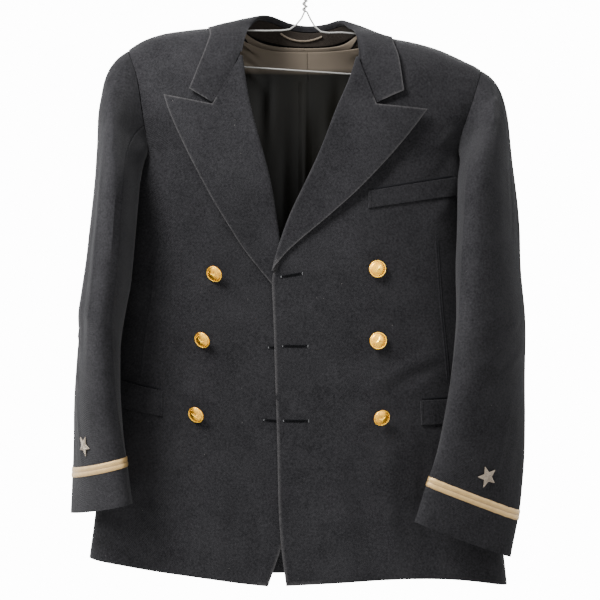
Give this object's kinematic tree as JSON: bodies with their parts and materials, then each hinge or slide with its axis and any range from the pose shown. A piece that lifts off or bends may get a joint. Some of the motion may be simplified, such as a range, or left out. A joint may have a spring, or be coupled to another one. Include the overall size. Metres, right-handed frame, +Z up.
{
  "type": "naval officer uniform jacket on a wire hanger",
  "caption": "Double-breasted dark navy officer's jacket with peaked lapels, gilt buttons, a lace stripe and star on each cuff, open body and sleeves, hung on a thin wire hanger.",
  "frame": {"origin": "inside top of the hanger's hook, where a rail carries it", "axes": "+X to the wearer's left, +Y to the wearer's back, +Z up"},
  "size_m": [0.5883, 0.1964, 0.8311],
  "materials": {
    "cloth": "matt wool",
    "lining": "satin",
    "lace": "metallic lace",
    "star": "bullion thread",
    "gilt": "polished gilt",
    "wire": "zinc wire",
    "loop": "woven tape"
  },
  "bodies": {
    "root": {"back_left": "cloth", "back_right": "cloth", "breast_welt": "cloth", "button_left_1": "gilt", "button_left_2": "gilt", "button_left_3": "gilt", "button_right_1": "gilt", "button_right_2": "gilt", "button_right_3": "gilt", "collar_fall": "cloth", "collar_stand": "cloth", "front_left": "cloth", "front_right": "cloth", "hang_loop": "loop", "hanger": "wire", "hip_welt_left": "cloth", "hip_welt_right": "cloth", "lapel_left": "cloth", "lapel_right": "cloth", "lining_back_left": "lining", "lining_back_right": "lining", "sleeve_top_left": "cloth", "sleeve_top_right": "cloth", "sleeve_under_left": "cloth", "sleeve_under_right": "cloth", "star_left": "star", "star_right": "star", "stripe_left": "lace", "stripe_right": "lace"}
  },
  "joints": []
}
